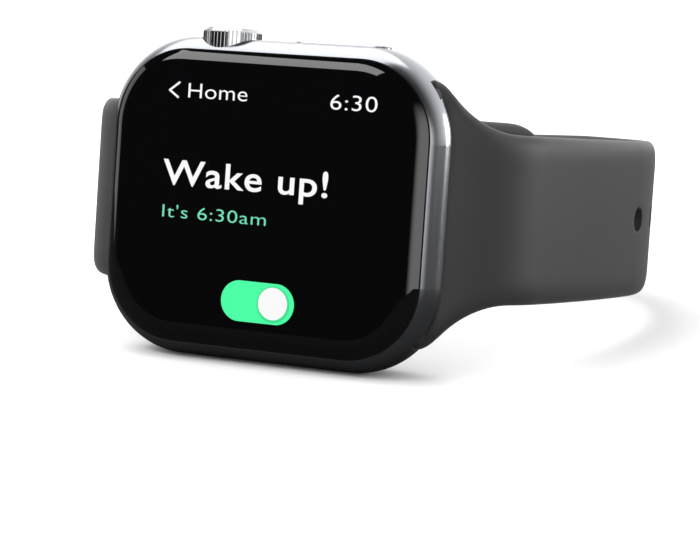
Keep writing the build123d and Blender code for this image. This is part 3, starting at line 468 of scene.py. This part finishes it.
def effect(name, outputs, inputs):
    """Empty shader group with named inputs as (name, kind, value), and named outputs."""
    tree = bpy.data.node_groups.new(name, "ShaderNodeTree")
    for label, kind in outputs:
        tree.interface.new_socket(name=label, in_out="OUTPUT", socket_type=kind)
    for label, kind, value in inputs:
        socket = tree.interface.new_socket(name=label, in_out="INPUT", socket_type=kind)
        socket.default_value = value
    return tree, tree.nodes.new("NodeGroupInput"), tree.nodes.new("NodeGroupOutput")


def join(tree, source, target):
    tree.links.new(source, target)


def grain_effect():
    """Fine uneven grain as a normal, and a slow mottle about one half."""
    tree, given, put = effect(
        "surface_grain",
        [("Mottle", "NodeSocketFloat"), ("Normal", "NodeSocketVector")],
        [
            ("Scale", "NodeSocketFloat", 4000.0),
            ("Mottle Scale", "NodeSocketFloat", 90.0),
            ("Depth", "NodeSocketFloat", 0.1),
        ],
    )
    place = tree.nodes.new("ShaderNodeTexCoord")
    fine = tree.nodes.new("ShaderNodeTexNoise")
    fine.inputs["Detail"].default_value = 3.0
    slow = tree.nodes.new("ShaderNodeTexNoise")
    slow.inputs["Detail"].default_value = 2.0
    bump = tree.nodes.new("ShaderNodeBump")
    bump.inputs["Distance"].default_value = 0.00002
    join(tree, place.outputs["Object"], fine.inputs["Vector"])
    join(tree, place.outputs["Object"], slow.inputs["Vector"])
    join(tree, given.outputs["Scale"], fine.inputs["Scale"])
    join(tree, given.outputs["Mottle Scale"], slow.inputs["Scale"])
    join(tree, fine.outputs["Fac"], bump.inputs["Height"])
    join(tree, given.outputs["Depth"], bump.inputs["Strength"])
    join(tree, slow.outputs["Fac"], put.inputs["Mottle"])
    join(tree, bump.outputs["Normal"], put.inputs["Normal"])
    return tree


GRAIN = grain_effect()


def remapped(tree, source, low, high):
    """A value about one half, spread between low and high."""
    spread = tree.nodes.new("ShaderNodeMapRange")
    spread.inputs["From Min"].default_value = 0.3
    spread.inputs["From Max"].default_value = 0.7
    spread.inputs["To Min"].default_value = low
    spread.inputs["To Max"].default_value = high
    join(tree, source, spread.inputs["Value"])
    return spread.outputs["Result"]


def finish(name, colour, roughness, metallic=0.0, grain=4000.0, depth=0.1, vary=0.04, **sockets):
    """Principled material whose colour and roughness wander a little, with a fine grained surface."""
    material = bpy.data.materials.new(name)
    material.use_nodes = True
    tree = material.node_tree
    shader = tree.nodes["Principled BSDF"]
    shader.inputs["Metallic"].default_value = metallic
    for key, value in sockets.items():
        shader.inputs[key.replace("_", " ")].default_value = value
    surface = tree.nodes.new("ShaderNodeGroup")
    surface.node_tree = GRAIN
    surface.inputs["Scale"].default_value = grain
    surface.inputs["Depth"].default_value = depth
    tint = tree.nodes.new("ShaderNodeMix")
    tint.data_type = "RGBA"
    tint.inputs[6].default_value = (*[c * (1 - vary) for c in colour], 1)
    tint.inputs[7].default_value = (*[min(c * (1 + vary), 1) for c in colour], 1)
    join(tree, surface.outputs["Mottle"], tint.inputs[0])
    join(tree, tint.outputs[2], shader.inputs["Base Color"])
    rough = remapped(tree, surface.outputs["Mottle"], roughness * (1 - vary), roughness * (1 + vary))
    join(tree, rough, shader.inputs["Roughness"])
    join(tree, surface.outputs["Normal"], shader.inputs["Normal"])
    return material


def glow(name, colour, strength):
    """Lit part of the display picture."""
    material = finish(name, (0, 0, 0), 0.3, grain=9000.0, depth=0.0)
    shader = material.node_tree.nodes["Principled BSDF"]
    shader.inputs["Emission Color"].default_value = (*colour, 1)
    shader.inputs["Emission Strength"].default_value = strength
    return material


CASE_METAL = finish("polished_grey_metal", (0.34, 0.35, 0.37), 0.2, metallic=1.0, grain=9000.0, depth=0.06)
BLACK_GLASS = finish("black_glass", (0.0015, 0.0015, 0.0018), 0.03, grain=300.0, depth=0.0, IOR=1.52)
STEEL = finish("polished_steel", (0.78, 0.78, 0.79), 0.18, metallic=1.0, grain=6000.0, depth=0.08)
CROWN_STEEL = finish("crown_steel", (0.5, 0.505, 0.515), 0.2, metallic=1.0, grain=6000.0, depth=0.05)
CROWN_FACE = finish("crown_face_black", (0.012, 0.012, 0.014), 0.12, IOR=1.5)
SILICONE = finish(
    "strap_silicone", (0.018, 0.018, 0.0185), 0.5, grain=5200.0, depth=0.2, vary=0.05,
    IOR=1.45, Sheen_Weight=0.12, Sheen_Roughness=0.4,
)
SEAL = finish("seal_rubber", (0.006, 0.006, 0.006), 0.6)
BACK_CERAMIC = finish("back_ceramic_black", (0.01, 0.01, 0.011), 0.08, grain=700.0, depth=0.02)
WINDOW_GLASS = finish("sensor_window_dark", (0.012, 0.004, 0.006), 0.04, depth=0.0)
BLACK_PLASTIC = finish("black_plastic", (0.02, 0.02, 0.021), 0.5, depth=0.3)
BOARD_GREEN = finish("board_green", (0.012, 0.07, 0.035), 0.4)
CHIP_BLACK = finish("chip_black", (0.015, 0.015, 0.016), 0.35, depth=0.2)
COPPER = finish("coil_copper", (0.65, 0.3, 0.14), 0.3, metallic=1.0)
FERRITE = finish("ferrite_grey", (0.05, 0.05, 0.052), 0.6, metallic=0.3)
BATTERY_FOIL = finish("battery_foil", (0.08, 0.08, 0.085), 0.4, metallic=0.6)
FLEX_AMBER = finish("flex_amber", (0.35, 0.17, 0.04), 0.35)
MESH_DARK = finish("mesh_dark", (0.05, 0.05, 0.05), 0.5, metallic=0.8, grain=16000.0, depth=0.8)
LED_CLEAR = finish("led_epoxy", (0.7, 0.75, 0.5), 0.15)

NODE_FINISHES = {
    CASE_METAL: ["case_shell", "side_button", "release_left", "release_right"],
    BLACK_GLASS: ["front_crystal", "display_panel"],
    STEEL: ["display_backplate", "board_screws", "haptic_housing", "haptic_mass", "haptic_springs",
            "electrode_ring", "crown_shaft", "crown_clip", "crown_sleeve", "crown_bracket", "button_bar",
            "button_bracket", "microphone", "clasp_stud", "lug_catch_left", "lug_catch_right",
            "catch_spring_left", "catch_spring_right"],
    CROWN_STEEL: ["crown_cap"],
    CROWN_FACE: ["crown_disc"],
    SILICONE: ["strap_right", "strap_left"],
    SEAL: ["display_gasket", "back_gasket", "crown_seals"],
    BACK_CERAMIC: ["back_crystal"],
    WINDOW_GLASS: ["sensor_window"],
    BLACK_PLASTIC: ["midframe", "speaker_housing", "sensor_baffle", "crown_pushrod", "crown_switch",
                    "button_switch", "lug_rail_left", "lug_rail_right"],
    BOARD_GREEN: ["system_board", "sensor_board"],
    CHIP_BLACK: ["system_package", "memory_chips", "photodiodes", "crown_encoder"],
    COPPER: ["charge_coil"],
    FERRITE: ["alignment_magnet", "ferrite_shield"],
    BATTERY_FOIL: ["battery"],
    FLEX_AMBER: ["display_connector", "speaker_diaphragm"],
    MESH_DARK: ["speaker_mesh", "microphone_mesh"],
    LED_CLEAR: ["sensor_leds"],
}
for material, names in NODE_FINISHES.items():
    for name in names:
        dress(NODES[name], material)

# ---------------------------------------------------------------- display picture

PICTURE_LIFT = 0.012  # the picture lies just in front of the glass, so that it is never hidden by it
PICTURE_DEPTH = -GLASS_RISE - PICTURE_LIFT
CAPITAL_SHARE = 0.729  # height of a capital letter, as a share of the font's size
STROKE_STEP = 0.002
SHADE_RISE = 0.004
KNOB_RISE = 0.008
UI_WHITE = glow("display_white", (0.95, 0.95, 0.95), 1.0)
UI_GREEN = glow("display_green", (0.18, 0.72, 0.46), 1.0)
UI_SWITCH = glow("display_switch_green", (0.074, 1.0, 0.381), 1.0)
UI_SHADE = glow("display_switch_shade", (0.05, 0.75, 0.29), 1.0)


def flat_piece(name, flat, material):
    """Turns a flat outline drawn in X and Y into a lit piece of the display."""
    flat.name = name
    settle(flat, (0, PICTURE_DEPTH, 0), Matrix.Rotation(radians(90), 3, "X"))
    return stands_for(flat, "case", "display", material)


def words(name, text, left, right, baseline, height, weight, spacing, material):
    """Line of writing, stretched to its measured length."""
    bpy.ops.object.select_all(action="DESELECT")
    bpy.ops.object.text_add()
    line = bpy.context.object
    line.data.body = text
    line.data.size = height / CAPITAL_SHARE
    line.data.offset = weight
    line.data.space_character = spacing
    line.data.resolution_u = 6
    bpy.context.view_layer.update()
    only(line)
    bpy.ops.object.convert(target="MESH")
    line = bpy.context.object
    xs = [v.co.x for v in line.data.vertices]
    stretch = (right - left) / (max(xs) - min(xs))
    for v in line.data.vertices:
        v.co.x = left + (v.co.x - min(xs)) * stretch
        v.co.y += baseline
    return flat_piece(name, line, material)


words("label_back", "Home", -10.55, -2.7, 11.66, 1.83, -0.012, 1.02, UI_WHITE)
words("label_clock", "6:30", 8.06, 14.0, 11.45, 1.87, -0.012, 1.06, UI_WHITE)
words("label_greeting", "Wake up!", -13.3, 8.45, 1.28, 3.1, 0.05, 1.06, UI_WHITE)
words("label_time", "It's 6:30am", -13.05, 0.77, -2.63, 1.55, -0.012, 1.06, UI_GREEN)


def stroke(name, points, width, material):
    """Line of even width with round ends and corners."""
    bpy.ops.object.select_all(action="DESELECT")
    bpy.ops.mesh.primitive_circle_add(vertices=24, radius=width / 2, fill_type="NGON")
    dot = bpy.context.object
    dot.location = (*points[0], 0)
    parts = [dot]
    for a, b in zip(points, points[1:]):
        bpy.ops.object.select_all(action="DESELECT")
        bpy.ops.mesh.primitive_circle_add(vertices=24, radius=width / 2, fill_type="NGON")
        bar = bpy.context.object
        reach = hypot(b[0] - a[0], b[1] - a[1]) / 2
        for v in bar.data.vertices:
            v.co.x += reach if v.co.x > 0 else -reach
        bar.rotation_euler.z = atan2(b[1] - a[1], b[0] - a[0])
        bar.location = ((a[0] + b[0]) / 2, (a[1] + b[1]) / 2, STROKE_STEP * len(parts))
        parts.append(bar)
    only(*parts)
    bpy.ops.object.join()
    line = bpy.context.object
    only(line)
    bpy.ops.object.transform_apply(location=True, rotation=True, scale=True)
    return flat_piece(name, line, material)


stroke("label_arrow", [(-11.8, 13.36), (-13.05, 12.4), (-11.9, 11.63)], 0.26, UI_WHITE)


def pill(name, left, right, middle, height, material, rise=0.0):
    """Round-ended bar of the display."""
    bpy.ops.object.select_all(action="DESELECT")
    radius = height / 2
    bpy.ops.mesh.primitive_circle_add(vertices=64, radius=radius, fill_type="NGON")
    shape = bpy.context.object
    half = (right - left) / 2 - radius
    for v in shape.data.vertices:
        v.co.x += (left + right) / 2 + (half if v.co.x > 0 else -half)
        v.co.y += middle
        v.co.z = rise
    return flat_piece(name, shape, material)


pill("switch_track", -4.45, 5.13, -11.65, 4.8, UI_SWITCH)
pill("switch_shade", 0.25, 4.55, -11.72, 4.3, UI_SHADE, SHADE_RISE)
pill("switch_knob", 0.44, 4.24, -11.62, 3.8, UI_WHITE, KNOB_RISE)

# ---------------------------------------------------------------- new pieces

stands_for(holed_strap(), "band", "strap_silicone", SILICONE, "strap_right")
stands_for(pin_strap(), "band", "strap_silicone", SILICONE, "strap_left")

# ---------------------------------------------------------------- floor, light and camera

bpy.context.scene.view_settings.view_transform = "Standard"


def floor():
    """Pale floor, which every reflection sees as dark."""
    bpy.ops.object.select_all(action="DESELECT")
    bpy.ops.mesh.primitive_plane_add(size=12)
    plane = bpy.context.object
    plane.name = "floor"
    material = bpy.data.materials.new("floor_white")
    material.use_nodes = True
    tree = material.node_tree
    pale = tree.nodes["Principled BSDF"]
    pale.inputs["Base Color"].default_value = (0.93, 0.93, 0.93, 1)
    pale.inputs["Roughness"].default_value = 0.8
    pale.inputs["Specular IOR Level"].default_value = 0.1
    dark = tree.nodes.new("ShaderNodeBsdfDiffuse")
    dark.inputs["Color"].default_value = (0.05, 0.05, 0.05, 1)
    ray = tree.nodes.new("ShaderNodeLightPath")
    blend = tree.nodes.new("ShaderNodeMixShader")
    join(tree, ray.outputs["Is Glossy Ray"], blend.inputs["Fac"])
    join(tree, pale.outputs["BSDF"], blend.inputs[1])
    join(tree, dark.outputs["BSDF"], blend.inputs[2])
    join(tree, blend.outputs["Shader"], tree.nodes["Material Output"].inputs["Surface"])
    plane.data.materials.append(material)


def faded(tree, towards, heading, share, strength):
    """Strength of the room's light near one heading, fading away from it."""
    aimed = tree.nodes.new("ShaderNodeVectorMath")
    aimed.operation = "DOT_PRODUCT"
    aimed.inputs[1].default_value = STAND.to_3x3() @ Vector(heading).normalized()
    fade = tree.nodes.new("ShaderNodeMapRange")
    fade.interpolation_type = "SMOOTHSTEP"
    fade.inputs["From Min"].default_value, fade.inputs["From Max"].default_value = share
    fade.inputs["To Min"].default_value, fade.inputs["To Max"].default_value = strength
    join(tree, towards.outputs["Generated"], aimed.inputs[0])
    join(tree, aimed.outputs["Value"], fade.inputs["Value"])
    return fade.outputs["Result"]


def room():
    """Even white room. Reflections see it dark, but for white stretches behind and in front on the right."""
    world = bpy.data.worlds.new("room")
    bpy.context.scene.world = world
    world.use_nodes = True
    tree = world.node_tree
    even = tree.nodes["Background"]
    even.inputs["Color"].default_value = (1, 1, 1, 1)
    even.inputs["Strength"].default_value = 1.0
    seen = tree.nodes.new("ShaderNodeBackground")
    towards = tree.nodes.new("ShaderNodeTexCoord")
    behind = faded(tree, towards, heading=(0.25, 0.97, 0), share=(-0.35, 0.75), strength=(0.012, 1.9))
    beside = faded(tree, towards, heading=(0.6, -0.8, 0.0), share=(0.84, 0.985), strength=(0.0, 3.6))
    total = tree.nodes.new("ShaderNodeMath")
    join(tree, behind, total.inputs[0])
    join(tree, beside, total.inputs[1])
    join(tree, total.outputs["Value"], seen.inputs["Strength"])
    ray = tree.nodes.new("ShaderNodeLightPath")
    blend = tree.nodes.new("ShaderNodeMixShader")
    join(tree, ray.outputs["Is Glossy Ray"], blend.inputs["Fac"])
    join(tree, even.outputs["Background"], blend.inputs[1])
    join(tree, seen.outputs["Background"], blend.inputs[2])
    join(tree, blend.outputs["Shader"], tree.nodes["World Output"].inputs["Surface"])


def soft_light(name, place, aim, size, power):
    """Rectangular soft light in the upright watch's directions, in millimetres."""
    light = bpy.data.lights.new(name, "AREA")
    light.shape = "RECTANGLE"
    light.size, light.size_y = size[0] * MM, size[1] * MM
    light.energy = power
    lamp = bpy.data.objects.new(name, light)
    bpy.context.scene.collection.objects.link(lamp)
    lamp.location = placed(place)
    lamp.rotation_euler = (placed(aim) - lamp.location).to_track_quat("-Z", "Y").to_euler()
    lamp.visible_camera = False


floor()
room()
soft_light("top_light", (-160, 60, 420), (0, 0, 0), (420, 440), 1.5)
soft_light("top_front_light", (-200, -290, 310), (0, 0, 10), (300, 170), 0.8)
soft_light("right_light", (470, 300, 60), (10, 20, 0), (110, 320), 1.3)
soft_light("left_light", (-420, -60, 60), (0, 0, 0), (120, 300), 0.15)

EYE = (129.74, -257.35, 13.03)
EYE_AHEAD = (-0.41624, 0.90659, -0.06951)
EYE_UP = (-0.09074, 0.03465, 0.99527)
LENS = 126.8


def camera():
    data = bpy.data.cameras.new("camera")
    data.lens = LENS
    data.sensor_width = 36
    data.clip_start = 0.01
    eye = bpy.data.objects.new("camera", data)
    bpy.context.scene.collection.objects.link(eye)
    turn = STAND.to_3x3()
    ahead, up = turn @ Vector(EYE_AHEAD), turn @ Vector(EYE_UP)
    right = ahead.cross(up).normalized()
    up = right.cross(ahead)
    eye.matrix_world = Matrix.Translation(placed(EYE)) @ Matrix((right, up, -ahead)).transposed().to_4x4()
    bpy.context.scene.camera = eye


camera()
